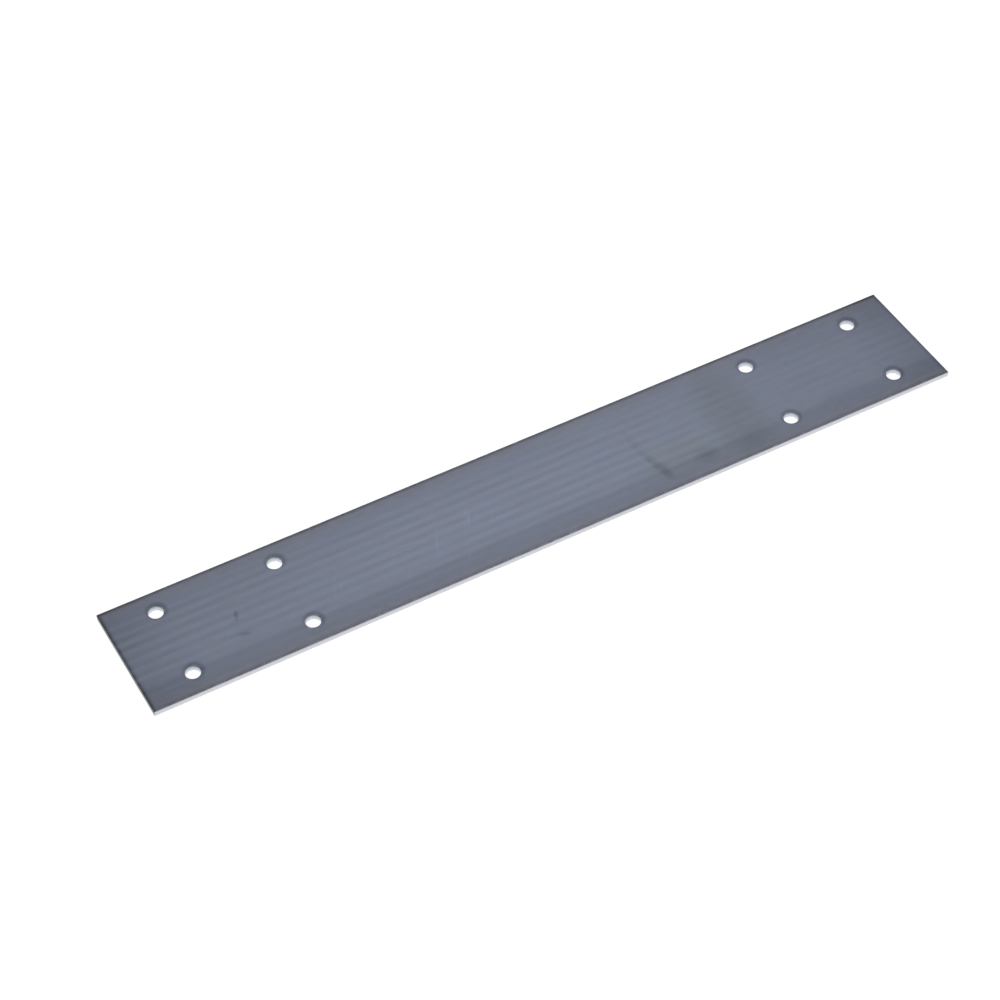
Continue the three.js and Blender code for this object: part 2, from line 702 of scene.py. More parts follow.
    # Painted shade: darker over the last 50 mm towards each end, where the soft panel's reflection falls
    # off.
    painted_end_shade = nodes.new("ShaderNodeMapRange")
    painted_end_shade.label = "Darker ends"
    painted_end_shade.inputs["From Min"].default_value = 50 * MM
    painted_end_shade.inputs["From Max"].default_value = 0.0
    rear_fade = nodes.new("ShaderNodeMapRange")
    rear_fade.label = "Darker rear"
    rear_fade.interpolation_type = "SMOOTHSTEP"
    rear_fade.inputs["From Min"].default_value = 5 * MM
    rear_fade.inputs["From Max"].default_value = 40 * MM
    uneven_band = nodes.new("ShaderNodeMath")
    uneven_band.label = "Uneven band"
    uneven_band.operation = "MULTIPLY_ADD"
    uneven_band.inputs[1].default_value = 7 * MM
    band_start = nodes.new("ShaderNodeMapRange")
    band_start.label = "Band's inner side"
    band_start.interpolation_type = "SMOOTHSTEP"
    band_start.inputs["From Min"].default_value = -19 * MM
    band_start.inputs["From Max"].default_value = -32 * MM
    band_stop = nodes.new("ShaderNodeMapRange")
    band_stop.label = "Band's outer side"
    band_stop.interpolation_type = "SMOOTHSTEP"
    band_stop.inputs["From Min"].default_value = -44 * MM
    band_stop.inputs["From Max"].default_value = -37.5 * MM
    band_stop.inputs["To Min"].default_value = 0.45
    band = nodes.new("ShaderNodeMath")
    band.label = "Front band"
    band.operation = "MULTIPLY"
    for step, node in enumerate(
        (from_end, from_side, from_rim, uneven_rim, margin, rim_line, rear_line, left_line, dark_line,
         painted_end_shade, rear_fade, uneven_band, band_start, band_stop, band)
    ):
        node.parent = border
        node.location = (180 * step, -1500)
    links.new(folded_axes.outputs["X"], from_end.inputs[1])
    links.new(folded_axes.outputs["Y"], from_side.inputs[1])
    links.new(from_end.outputs["Value"], from_rim.inputs[0])
    links.new(from_side.outputs["Value"], from_rim.inputs[1])
    links.new(small_cloud.outputs["Fac"], uneven_rim.inputs[0])
    links.new(from_side.outputs["Value"], uneven_rim.inputs[2])
    links.new(uneven_rim.outputs["Value"], margin.inputs["Value"])
    links.new(from_rim.outputs["Value"], rim_line.inputs["Value"])
    links.new(axes.outputs["Y"], rear_line.inputs["Value"])
    links.new(axes.outputs["X"], left_line.inputs["Value"])
    links.new(rear_line.outputs["Result"], dark_line.inputs[0])
    links.new(left_line.outputs["Result"], dark_line.inputs[1])
    links.new(from_end.outputs["Value"], painted_end_shade.inputs["Value"])
    links.new(axes.outputs["Y"], rear_fade.inputs["Value"])
    links.new(small_cloud.outputs["Fac"], uneven_band.inputs[0])
    links.new(axes.outputs["Y"], uneven_band.inputs[2])
    links.new(uneven_band.outputs["Value"], band_start.inputs["Value"])
    links.new(uneven_band.outputs["Value"], band_stop.inputs["Value"])
    links.new(band_start.outputs["Result"], band.inputs[0])
    links.new(band_stop.outputs["Result"], band.inputs[1])

    # A dark ring round each hole, heavier to one side, which is painted shade of the rolled-over rim, and
    # bright spots along the rims that get rubbed.
    rings = nodes.new("NodeFrame")
    rings.label = "Rings and rims"
    inner_column, outer_column = sorted({round(abs(x), 6) for x, _ in HOLE_CENTRES})
    row = abs(HOLE_CENTRES[0][1])
    from_inner = nodes.new("ShaderNodeVectorMath")
    from_inner.label = "From the inner hole"
    from_inner.operation = "DISTANCE"
    from_inner.inputs[1].default_value = (inner_column, row, 0.0)
    from_outer = nodes.new("ShaderNodeVectorMath")
    from_outer.label = "From the outer hole"
    from_outer.operation = "DISTANCE"
    from_outer.inputs[1].default_value = (outer_column, row, 0.0)
    from_hole = nodes.new("ShaderNodeMath")
    from_hole.label = "From the nearest hole"
    from_hole.operation = "MINIMUM"
    # The ring of painted shade is centred a millimetre off each hole's middle, so one side of it is heavier.
    shade_point = nodes.new("ShaderNodeVectorMath")
    shade_point.label = "Painted shade heavier to one side"
    shade_point.operation = "MULTIPLY_ADD"
    shade_point.inputs[1].default_value = (1.0, 1.0, 0.0)
    shade_point.inputs[2].default_value = (-1 * MM, -1 * MM, 0.0)
    shade_folded = nodes.new("ShaderNodeVectorMath")
    shade_folded.label = "Folded to one quarter"
    shade_folded.operation = "ABSOLUTE"
    shade_inner = nodes.new("ShaderNodeVectorMath")
    shade_inner.label = "From the inner ring's middle"
    shade_inner.operation = "DISTANCE"
    shade_inner.inputs[1].default_value = (inner_column, row, 0.0)
    shade_outer = nodes.new("ShaderNodeVectorMath")
    shade_outer.label = "From the outer ring's middle"
    shade_outer.operation = "DISTANCE"
    shade_outer.inputs[1].default_value = (outer_column, row, 0.0)
    from_shade_ring = nodes.new("ShaderNodeMath")
    from_shade_ring.label = "From the nearest ring's middle"
    from_shade_ring.operation = "MINIMUM"
    # Painted shade: darkest close round the hole, gone at 1.75 hole radii from the shifted middle.
    ring = nodes.new("ShaderNodeMapRange")
    ring.label = "Ring"
    ring.interpolation_type = "SMOOTHSTEP"
    ring.inputs["From Min"].default_value = 1.75 * HOLE_RADIUS
    ring.inputs["From Max"].default_value = 1.08 * HOLE_RADIUS
    from_cut = nodes.new("ShaderNodeMath")
    from_cut.label = "From the hole's own rim"
    from_cut.operation = "SUBTRACT"
    from_cut.inputs[1].default_value = HOLE_RADIUS
    nearest_cut = nodes.new("ShaderNodeMath")
    nearest_cut.label = "From the nearest rubbed rim"
    nearest_cut.operation = "MINIMUM"
    rub_noise = nodes.new("ShaderNodeTexNoise")
    rub_noise.label = "Where rims are rubbed"
    rub_noise.inputs["Scale"].default_value = 210.0
    rub_noise.inputs["Detail"].default_value = 4.0
    rub_noise.inputs["Roughness"].default_value = 0.65
    rub_reach = nodes.new("ShaderNodeMath")
    rub_reach.label = "How far in they are rubbed"
    rub_reach.operation = "MULTIPLY_ADD"
    rub_reach.inputs[1].default_value = -6.0 * MM
    rubbed = nodes.new("ShaderNodeMapRange")
    rubbed.label = "Rubbed bright"
    rubbed.interpolation_type = "SMOOTHSTEP"
    rubbed.inputs["From Min"].default_value = -1.9 * MM
    rubbed.inputs["From Max"].default_value = -2.7 * MM
    for step, node in enumerate(
        (from_inner, from_outer, from_hole, shade_point, shade_folded, shade_inner, shade_outer,
         from_shade_ring, ring, from_cut, nearest_cut, rub_noise, rub_reach, rubbed)
    ):
        node.parent = rings
        node.location = (180 * step, -1900)
    links.new(flat_point.outputs["Vector"], from_inner.inputs[0])
    links.new(flat_point.outputs["Vector"], from_outer.inputs[0])
    links.new(from_inner.outputs["Value"], from_hole.inputs[0])
    links.new(from_outer.outputs["Value"], from_hole.inputs[1])
    links.new(point.outputs["Object"], shade_point.inputs[0])
    links.new(shade_point.outputs["Vector"], shade_folded.inputs[0])
    links.new(shade_folded.outputs["Vector"], shade_inner.inputs[0])
    links.new(shade_folded.outputs["Vector"], shade_outer.inputs[0])
    links.new(shade_inner.outputs["Value"], from_shade_ring.inputs[0])
    links.new(shade_outer.outputs["Value"], from_shade_ring.inputs[1])
    links.new(from_shade_ring.outputs["Value"], ring.inputs["Value"])
    links.new(from_hole.outputs["Value"], from_cut.inputs[0])
    links.new(from_cut.outputs["Value"], nearest_cut.inputs[0])
    links.new(from_side.outputs["Value"], nearest_cut.inputs[1])
    links.new(point.outputs["Object"], rub_noise.inputs["Vector"])
    links.new(rub_noise.outputs["Fac"], rub_reach.inputs[0])
    links.new(nearest_cut.outputs["Value"], rub_reach.inputs[2])
    links.new(rub_reach.outputs["Value"], rubbed.inputs["Value"])

    # Marks on the top face: each is a soft spot, drawn out and turned, that fades before the underside.
    marks = nodes.new("NodeFrame")
    marks.label = "Marks on the top face"
    stray_noise = nodes.new("ShaderNodeTexNoise")
    stray_noise.label = "Ragged outlines"
    stray_noise.inputs["Scale"].default_value = 160.0
    stray_noise.inputs["Detail"].default_value = 3.0
    stray_point = nodes.new("ShaderNodeVectorMath")
    stray_point.label = "Point strayed a little"
    stray_point.operation = "MULTIPLY_ADD"
    stray_point.inputs[1].default_value = (5 * MM, 5 * MM, 0.0)
    streak_place = nodes.new("ShaderNodeMapping")
    streak_place.label = "Drag mark's place"
    streak_place.vector_type = "TEXTURE"
    streak_place.inputs["Location"].default_value = (91.6 * MM, -23.5 * MM, THICKNESS)
    streak_place.inputs["Rotation"].default_value = (0.0, 0.0, math.radians(12))
    streak_place.inputs["Scale"].default_value = (5.6 * MM, 24 * MM, 3 * MM)
    streak_shape = nodes.new("ShaderNodeTexGradient")
    streak_shape.label = "Drag mark's shape"
    streak_shape.gradient_type = "SPHERICAL"
    streak = nodes.new("ShaderNodeMapRange")
    streak.label = "Drag mark"
    streak.interpolation_type = "SMOOTHSTEP"
    streak.inputs["From Max"].default_value = 0.75
    faint_place = nodes.new("ShaderNodeMapping")
    faint_place.label = "Faint mark's place"
    faint_place.vector_type = "TEXTURE"
    faint_place.inputs["Location"].default_value = (86.8 * MM, 5.5 * MM, THICKNESS)
    faint_place.inputs["Rotation"].default_value = (0.0, 0.0, math.radians(2))
    faint_place.inputs["Scale"].default_value = (4.5 * MM, 22 * MM, 3 * MM)
    faint = nodes.new("ShaderNodeTexGradient")
    faint.label = "Its faint start"
    faint.gradient_type = "SPHERICAL"
    smear_place = nodes.new("ShaderNodeMapping")
    smear_place.label = "Smear's place"
    smear_place.vector_type = "TEXTURE"
    smear_place.inputs["Location"].default_value = (168 * MM, -4 * MM, THICKNESS)
    smear_place.inputs["Rotation"].default_value = (0.0, 0.0, math.radians(-4))
    smear_place.inputs["Scale"].default_value = (32 * MM, 66 * MM, 6 * MM)
    smear_shape = nodes.new("ShaderNodeTexGradient")
    smear_shape.label = "Broad smear's shape"
    smear_shape.gradient_type = "SPHERICAL"
    smear = nodes.new("ShaderNodeMapRange")
    smear.label = "Broad smear"
    smear.interpolation_type = "SMOOTHSTEP"
    smear.inputs["From Max"].default_value = 0.65
    core_place = nodes.new("ShaderNodeMapping")
    core_place.label = "Smear core's place"
    core_place.vector_type = "TEXTURE"
    core_place.inputs["Location"].default_value = (167 * MM, -30 * MM, THICKNESS)
    core_place.inputs["Rotation"].default_value = (0.0, 0.0, math.radians(1))
    core_place.inputs["Scale"].default_value = (7 * MM, 50 * MM, 3 * MM)
    core = nodes.new("ShaderNodeTexGradient")
    core.label = "Smear's dark core"
    core.gradient_type = "SPHERICAL"
    haze_place = nodes.new("ShaderNodeMapping")
    haze_place.label = "Haze's place"
    haze_place.vector_type = "TEXTURE"
    haze_place.inputs["Location"].default_value = (113 * MM, -22 * MM, THICKNESS)
    haze_place.inputs["Scale"].default_value = (42 * MM, 26 * MM, 6 * MM)
    haze_shape = nodes.new("ShaderNodeTexGradient")
    haze_shape.label = "Haze's shape"
    haze_shape.gradient_type = "SPHERICAL"
    haze = nodes.new("ShaderNodeMapRange")
    haze.label = "Haze beside the drag mark"
    haze.interpolation_type = "SMOOTHSTEP"
    haze.inputs["From Max"].default_value = 0.5
    blotch_place = nodes.new("ShaderNodeMapping")
    blotch_place.label = "Blotch's place"
    blotch_place.vector_type = "TEXTURE"
    blotch_place.inputs["Location"].default_value = (129 * MM, -30 * MM, THICKNESS)
    blotch_place.inputs["Scale"].default_value = (13 * MM, 9 * MM, 3 * MM)
    blotch = nodes.new("ShaderNodeTexGradient")
    blotch.label = "Blotch in the haze"
    blotch.gradient_type = "SPHERICAL"
    spot_place = nodes.new("ShaderNodeMapping")
    spot_place.label = "Dark spot's place"
    spot_place.vector_type = "TEXTURE"
    spot_place.inputs["Location"].default_value = (-244.4 * MM, 3.2 * MM, THICKNESS)
    spot_place.inputs["Rotation"].default_value = (0.0, 0.0, math.radians(-15))
    spot_place.inputs["Scale"].default_value = (2.8 * MM, 6.5 * MM, 3 * MM)
    spot = nodes.new("ShaderNodeTexGradient")
    spot.label = "Dark spot"
    spot.gradient_type = "SPHERICAL"
    curl_place = nodes.new("ShaderNodeMapping")
    curl_place.label = "Faint spot's place"
    curl_place.vector_type = "TEXTURE"
    curl_place.inputs["Location"].default_value = (-245.5 * MM, -16.0 * MM, THICKNESS)
    curl_place.inputs["Rotation"].default_value = (0.0, 0.0, math.radians(-22))
    curl_place.inputs["Scale"].default_value = (7.0 * MM, 2.3 * MM, 3 * MM)
    curl = nodes.new("ShaderNodeTexGradient")
    curl.label = "Faint spot"
    curl.gradient_type = "SPHERICAL"
    for step, node in enumerate(
        (stray_noise, stray_point, streak_place, streak_shape, streak, faint_place, faint, smear_place,
         smear_shape, smear, core_place, core, haze_place, haze_shape, haze, blotch_place, blotch,
         spot_place, spot, curl_place, curl)
    ):
        node.parent = marks
        node.location = (180 * step, -2300)
    links.new(point.outputs["Object"], stray_noise.inputs["Vector"])
    links.new(stray_noise.outputs["Color"], stray_point.inputs[0])
    links.new(point.outputs["Object"], stray_point.inputs[2])
    links.new(stray_point.outputs["Vector"], streak_place.inputs["Vector"])
    links.new(streak_place.outputs["Vector"], streak_shape.inputs["Vector"])
    links.new(streak_shape.outputs["Fac"], streak.inputs["Value"])
    links.new(stray_point.outputs["Vector"], faint_place.inputs["Vector"])
    links.new(faint_place.outputs["Vector"], faint.inputs["Vector"])
    links.new(stray_point.outputs["Vector"], smear_place.inputs["Vector"])
    links.new(smear_place.outputs["Vector"], smear_shape.inputs["Vector"])
    links.new(smear_shape.outputs["Fac"], smear.inputs["Value"])
    links.new(stray_point.outputs["Vector"], core_place.inputs["Vector"])
    links.new(core_place.outputs["Vector"], core.inputs["Vector"])
    links.new(stray_point.outputs["Vector"], haze_place.inputs["Vector"])
    links.new(haze_place.outputs["Vector"], haze_shape.inputs["Vector"])
    links.new(haze_shape.outputs["Fac"], haze.inputs["Value"])
    links.new(stray_point.outputs["Vector"], blotch_place.inputs["Vector"])
    links.new(blotch_place.outputs["Vector"], blotch.inputs["Vector"])
    links.new(stray_point.outputs["Vector"], spot_place.inputs["Vector"])
    links.new(spot_place.outputs["Vector"], spot.inputs["Vector"])
    links.new(stray_point.outputs["Vector"], curl_place.inputs["Vector"])
    links.new(curl_place.outputs["Vector"], curl.inputs["Vector"])

    # Handling scratches: thin crests of drawn-out noise in two directions, only where a patch of them shows.
    scratches = nodes.new("NodeFrame")
    scratches.label = "Scratches"
    steep_size = nodes.new("ShaderNodeMapping")
    steep_size.label = "Steep ones' size and turn"
    steep_size.vector_type = "TEXTURE"
    steep_size.inputs["Rotation"].default_value = (0.0, 0.0, math.radians(63))
    steep_size.inputs["Scale"].default_value = (34 * MM, 1.3 * MM, 1.3 * MM)
    steep_noise = nodes.new("ShaderNodeTexNoise")
    steep_noise.label = "Steep scratches"
    steep_noise.inputs["Scale"].default_value = 1.0
    steep_noise.inputs["Detail"].default_value = 0.0
    shallow_size = nodes.new("ShaderNodeMapping")
    shallow_size.label = "Shallow ones' size and turn"
    shallow_size.vector_type = "TEXTURE"
    shallow_size.inputs["Rotation"].default_value = (0.0, 0.0, math.radians(-14))
    shallow_size.inputs["Scale"].default_value = (46 * MM, 1.1 * MM, 1.1 * MM)
    shallow_noise = nodes.new("ShaderNodeTexNoise")
    shallow_noise.label = "Shallow scratches"
    shallow_noise.inputs["Scale"].default_value = 1.0
    shallow_noise.inputs["Detail"].default_value = 0.0
    either = nodes.new("ShaderNodeMath")
    either.label = "The stronger of the two"
    either.operation = "MAXIMUM"
    crest = nodes.new("ShaderNodeMapRange")
    crest.label = "Only the crests"
    crest.inputs["From Min"].default_value = 0.75
    crest.inputs["From Max"].default_value = 0.81
    patch = nodes.new("ShaderNodeMapRange")
    patch.label = "Only in patches"
    patch.interpolation_type = "SMOOTHSTEP"
    patch.inputs["From Min"].default_value = 0.45
    patch.inputs["From Max"].default_value = 0.62
    scratch = nodes.new("ShaderNodeMath")
    scratch.label = "Scratches"
    scratch.operation = "MULTIPLY"
    for step, node in enumerate(
        (steep_size, steep_noise, shallow_size, shallow_noise, either, crest, patch, scratch)
    ):
        node.parent = scratches
        node.location = (180 * step, -2700)
    links.new(point.outputs["Object"], steep_size.inputs["Vector"])
    links.new(steep_size.outputs["Vector"], steep_noise.inputs["Vector"])
    links.new(point.outputs["Object"], shallow_size.inputs["Vector"])
    links.new(shallow_size.outputs["Vector"], shallow_noise.inputs["Vector"])
    links.new(steep_noise.outputs["Fac"], either.inputs[0])
    links.new(shallow_noise.outputs["Fac"], either.inputs[1])
    links.new(either.outputs["Value"], crest.inputs["Value"])
    links.new(large_cloud.outputs["Fac"], patch.inputs["Value"])
    links.new(crest.outputs["Result"], scratch.inputs[0])
    links.new(patch.outputs["Result"], scratch.inputs[1])

    # Pits: a fleck at the middle of some cells, with its own size in each.
    pitting = nodes.new("NodeFrame")
    pitting.label = "Pits"
    pit_cell = nodes.new("ShaderNodeTexVoronoi")
    pit_cell.label = "One fleck to a cell"
    pit_cell.inputs["Scale"].default_value = 150.0
    pit_chance = nodes.new("ShaderNodeSeparateColor")
    pit_chance.label = "Chance in this cell"
    pit_reach = nodes.new("ShaderNodeMapRange")
    pit_reach.label = "Fleck's reach"
    pit_reach.inputs["From Min"].default_value = 0.55
    pit_reach.inputs["From Max"].default_value = 1.0
    pit_reach.inputs["To Min"].default_value = 0.0
    pit_reach.inputs["To Max"].default_value = 0.085
    pit_depth = nodes.new("ShaderNodeMath")
    pit_depth.label = "Inside the fleck"
    pit_depth.operation = "SUBTRACT"
    pit = nodes.new("ShaderNodeMapRange")
    pit.label = "Pits"
    pit.interpolation_type = "SMOOTHSTEP"
    pit.inputs["From Min"].default_value = 0.0
    pit.inputs["From Max"].default_value = 0.04
    for step, node in enumerate((pit_cell, pit_chance, pit_reach, pit_depth, pit)):
        node.parent = pitting
        node.location = (180 * step, -3100)
    links.new(point.outputs["Object"], pit_cell.inputs["Vector"])
    links.new(pit_cell.outputs["Color"], pit_chance.inputs["Color"])
    links.new(pit_chance.outputs["Red"], pit_reach.inputs["Value"])
    links.new(pit_reach.outputs["Result"], pit_depth.inputs[0])
    links.new(pit_cell.outputs["Distance"], pit_depth.inputs[1])
    links.new(pit_depth.outputs["Value"], pit.inputs["Value"])

    # The tone: how light the steel is here, as a share of its own colour; it also holds painted shade at the
    # ends and round the holes.
    tone = nodes.new("NodeFrame")
    tone.label = "Tone"
    tone_lines = nodes.new("ShaderNodeMath")
    tone_lines.label = "Straightener lines"
    tone_lines.operation = "MULTIPLY_ADD"
    tone_lines.inputs[1].default_value = 0.075
    tone_lines.inputs[2].default_value = 0.745
    tone_broad = nodes.new("ShaderNodeMath")
    tone_broad.label = "Broad streaks"
    tone_broad.operation = "MULTIPLY_ADD"
    tone_broad.inputs[1].default_value = 0.13
    tone_fine = nodes.new("ShaderNodeMath")
    tone_fine.label = "Hairlines"
    tone_fine.operation = "MULTIPLY_ADD"
    tone_fine.inputs[1].default_value = 0.16
    tone_large = nodes.new("ShaderNodeMath")
    tone_large.label = "Large clouds"
    tone_large.operation = "MULTIPLY_ADD"
    tone_large.inputs[1].default_value = 0.1
    tone_small = nodes.new("ShaderNodeMath")
    tone_small.label = "Small clouds"
    tone_small.operation = "MULTIPLY_ADD"
    tone_small.inputs[1].default_value = 0.12
    mottle_strength = nodes.new("ShaderNodeMapRange")
    mottle_strength.label = "More mottle in the border"
    mottle_strength.inputs["To Min"].default_value = 0.09
    mottle_strength.inputs["To Max"].default_value = 0.24
    mottle_shade = nodes.new("ShaderNodeMath")
    mottle_shade.label = "Mottle either side of none"
    mottle_shade.operation = "SUBTRACT"
    mottle_shade.inputs[1].default_value = 0.5
    tone_mottle = nodes.new("ShaderNodeMath")
    tone_mottle.label = "Mottle"
    tone_mottle.operation = "MULTIPLY_ADD"
    # Painted shade at the ends.
    tone_end_shade = nodes.new("ShaderNodeMath")
    tone_end_shade.label = "Darker ends"
    tone_end_shade.operation = "MULTIPLY_ADD"
    tone_end_shade.inputs[1].default_value = -0.17
    tone_rear = nodes.new("ShaderNodeMath")
    tone_rear.label = "Darker rear"
    tone_rear.operation = "MULTIPLY_ADD"
    tone_rear.inputs[1].default_value = -0.08
    tone_band = nodes.new("ShaderNodeMath")
    tone_band.label = "Front band"
    tone_band.operation = "MULTIPLY_ADD"
    tone_band.inputs[1].default_value = -0.14
    tone_rim = nodes.new("ShaderNodeMath")
    tone_rim.label = "Line along the rim"
    tone_rim.operation = "MULTIPLY_ADD"
    tone_rim.inputs[1].default_value = -0.2
    tone_dark = nodes.new("ShaderNodeMath")
    tone_dark.label = "Rear and left rim"
    tone_dark.operation = "MULTIPLY_ADD"
    tone_dark.inputs[1].default_value = -0.28
    # Painted shade round the holes.
    tone_ring_shade = nodes.new("ShaderNodeMath")
    tone_ring_shade.label = "Rings"
    tone_ring_shade.operation = "MULTIPLY_ADD"
    tone_ring_shade.inputs[1].default_value = -0.30
    tone_streak = nodes.new("ShaderNodeMath")
    tone_streak.label = "Drag mark"
    tone_streak.operation = "MULTIPLY_ADD"
    tone_streak.inputs[1].default_value = -0.19
    tone_faint = nodes.new("ShaderNodeMath")
    tone_faint.label = "Its faint start"
    tone_faint.operation = "MULTIPLY_ADD"
    tone_faint.inputs[1].default_value = -0.08
    tone_smear = nodes.new("ShaderNodeMath")
    tone_smear.label = "Broad smear"
    tone_smear.operation = "MULTIPLY_ADD"
    tone_smear.inputs[1].default_value = -0.085
    tone_core = nodes.new("ShaderNodeMath")
    tone_core.label = "Smear's dark core"
    tone_core.operation = "MULTIPLY_ADD"
    tone_core.inputs[1].default_value = -0.03
    tone_blotch = nodes.new("ShaderNodeMath")
    tone_blotch.label = "Blotch in the haze"
    tone_blotch.operation = "MULTIPLY_ADD"
    tone_blotch.inputs[1].default_value = -0.16
    tone_spot = nodes.new("ShaderNodeMath")
    tone_spot.label = "Dark spot"
    tone_spot.operation = "MULTIPLY_ADD"
    tone_spot.inputs[1].default_value = -0.36
    tone_curl = nodes.new("ShaderNodeMath")
    tone_curl.label = "Faint spot"
    tone_curl.operation = "MULTIPLY_ADD"
    tone_curl.inputs[1].default_value = -0.25
    tone_scratch = nodes.new("ShaderNodeMath")
    tone_scratch.label = "Scratches"
    tone_scratch.operation = "MULTIPLY_ADD"
    tone_scratch.inputs[1].default_value = 0.04
    tone_pit = nodes.new("ShaderNodeMath")
    tone_pit.label = "Pits"
    tone_pit.operation = "MULTIPLY_ADD"
    tone_pit.inputs[1].default_value = -0.18
    tone_rubbed = nodes.new("ShaderNodeMath")
    tone_rubbed.label = "Rubbed rims"
    tone_rubbed.operation = "MULTIPLY_ADD"
    tone_rubbed.inputs[1].default_value = 0.25
    for step, node in enumerate(
        (tone_lines, tone_broad, tone_fine, tone_large, tone_small, mottle_strength, mottle_shade,
         tone_mottle, tone_end_shade, tone_rear, tone_band, tone_rim, tone_dark, tone_ring_shade, tone_streak,
         tone_faint, tone_smear, tone_core, tone_blotch, tone_spot, tone_curl, tone_scratch, tone_pit,
         tone_rubbed)
    ):
        node.parent = tone
        node.location = (2700 + 180 * step, -300)
    links.new(line_shade.outputs["Value"], tone_lines.inputs[0])
    links.new(broad_grain.outputs["Fac"], tone_broad.inputs[0])
    links.new(tone_lines.outputs["Value"], tone_broad.inputs[2])
    links.new(fine_grain.outputs["Fac"], tone_fine.inputs[0])
    links.new(tone_broad.outputs["Value"], tone_fine.inputs[2])
    links.new(large_cloud.outputs["Fac"], tone_large.inputs[0])
    links.new(tone_fine.outputs["Value"], tone_large.inputs[2])
    links.new(small_cloud.outputs["Fac"], tone_small.inputs[0])
    links.new(tone_large.outputs["Value"], tone_small.inputs[2])
    links.new(margin.outputs["Result"], mottle_strength.inputs["Value"])
    links.new(mottle.outputs["Fac"], mottle_shade.inputs[0])
    links.new(mottle_strength.outputs["Result"], tone_mottle.inputs[0])
    links.new(mottle_shade.outputs["Value"], tone_mottle.inputs[1])
    links.new(tone_small.outputs["Value"], tone_mottle.inputs[2])
    links.new(painted_end_shade.outputs["Result"], tone_end_shade.inputs[0])
    links.new(tone_mottle.outputs["Value"], tone_end_shade.inputs[2])
    links.new(rear_fade.outputs["Result"], tone_rear.inputs[0])
    links.new(tone_end_shade.outputs["Value"], tone_rear.inputs[2])
    links.new(band.outputs["Value"], tone_band.inputs[0])
    links.new(tone_rear.outputs["Value"], tone_band.inputs[2])
    links.new(rim_line.outputs["Result"], tone_rim.inputs[0])
    links.new(tone_band.outputs["Value"], tone_rim.inputs[2])
    links.new(dark_line.outputs["Value"], tone_dark.inputs[0])
    links.new(tone_rim.outputs["Value"], tone_dark.inputs[2])
    links.new(ring.outputs["Result"], tone_ring_shade.inputs[0])
    links.new(tone_dark.outputs["Value"], tone_ring_shade.inputs[2])
    links.new(streak.outputs["Result"], tone_streak.inputs[0])
    links.new(tone_ring_shade.outputs["Value"], tone_streak.inputs[2])
    links.new(faint.outputs["Fac"], tone_faint.inputs[0])
    links.new(tone_streak.outputs["Value"], tone_faint.inputs[2])
    links.new(smear.outputs["Result"], tone_smear.inputs[0])
    links.new(tone_faint.outputs["Value"], tone_smear.inputs[2])
    links.new(core.outputs["Fac"], tone_core.inputs[0])
    links.new(tone_smear.outputs["Value"], tone_core.inputs[2])
    links.new(blotch.outputs["Fac"], tone_blotch.inputs[0])
    links.new(tone_core.outputs["Value"], tone_blotch.inputs[2])
    links.new(spot.outputs["Fac"], tone_spot.inputs[0])
    links.new(tone_blotch.outputs["Value"], tone_spot.inputs[2])
    links.new(curl.outputs["Fac"], tone_curl.inputs[0])
    links.new(tone_spot.outputs["Value"], tone_curl.inputs[2])
    links.new(scratch.outputs["Value"], tone_scratch.inputs[0])
    links.new(tone_curl.outputs["Value"], tone_scratch.inputs[2])
    links.new(pit.outputs["Result"], tone_pit.inputs[0])
    links.new(tone_scratch.outputs["Value"], tone_pit.inputs[2])
    links.new(rubbed.outputs["Result"], tone_rubbed.inputs[0])
    links.new(tone_pit.outputs["Value"], tone_rubbed.inputs[2])

    # The colour: clean steel, greyer in some clouds and the border, greener in the smear, times the tone.
    colour = nodes.new("NodeFrame")
    colour.label = "Colour"
    grey_cloud = nodes.new("ShaderNodeMapRange")
    grey_cloud.label = "Greyer in some clouds"
    grey_cloud.inputs["From Min"].default_value = 0.40
    grey_cloud.inputs["From Max"].default_value = 0.75
    grey_cloud.inputs["To Max"].default_value = 0.5
    grey_border = nodes.new("ShaderNodeMath")
    grey_border.label = "Greyer in the border"
    grey_border.operation = "MULTIPLY_ADD"
    grey_border.inputs[1].default_value = 0.75
    grey_border.use_clamp = True
    stained = nodes.new("ShaderNodeMix")
    stained.label = "Clean to grey"
    stained.data_type = "RGBA"
    stained.inputs["A"].default_value = (*settings.face_colour, 1.0)
    stained.inputs["B"].default_value = (*settings.stain_colour, 1.0)
    filmed = nodes.new("ShaderNodeMath")
    filmed.label = "Smear or haze"
    filmed.operation = "MAXIMUM"
    smeared = nodes.new("ShaderNodeMix")
    smeared.label = "Greener in the smear and the haze"
    smeared.data_type = "RGBA"
    smeared.inputs["B"].default_value = (*settings.smear_colour, 1.0)
    shaded = nodes.new("ShaderNodeVectorMath")
    shaded.label = "Times the tone"
    shaded.operation = "SCALE"
    for step, node in enumerate((grey_cloud, grey_border, stained, filmed, smeared, shaded)):
        node.parent = colour
        node.location = (7100 + 180 * step, -300)
    links.new(small_cloud.outputs["Fac"], grey_cloud.inputs["Value"])
    links.new(margin.outputs["Result"], grey_border.inputs[0])
    links.new(grey_cloud.outputs["Result"], grey_border.inputs[2])
    links.new(grey_border.outputs["Value"], stained.inputs["Factor"])
    links.new(smear.outputs["Result"], filmed.inputs[0])
    links.new(haze.outputs["Result"], filmed.inputs[1])
    links.new(filmed.outputs["Value"], smeared.inputs["Factor"])
    links.new(stained.outputs["Result"], smeared.inputs["A"])
    links.new(smeared.outputs["Result"], shaded.inputs[0])
    links.new(tone_rubbed.outputs["Value"], shaded.inputs["Scale"])

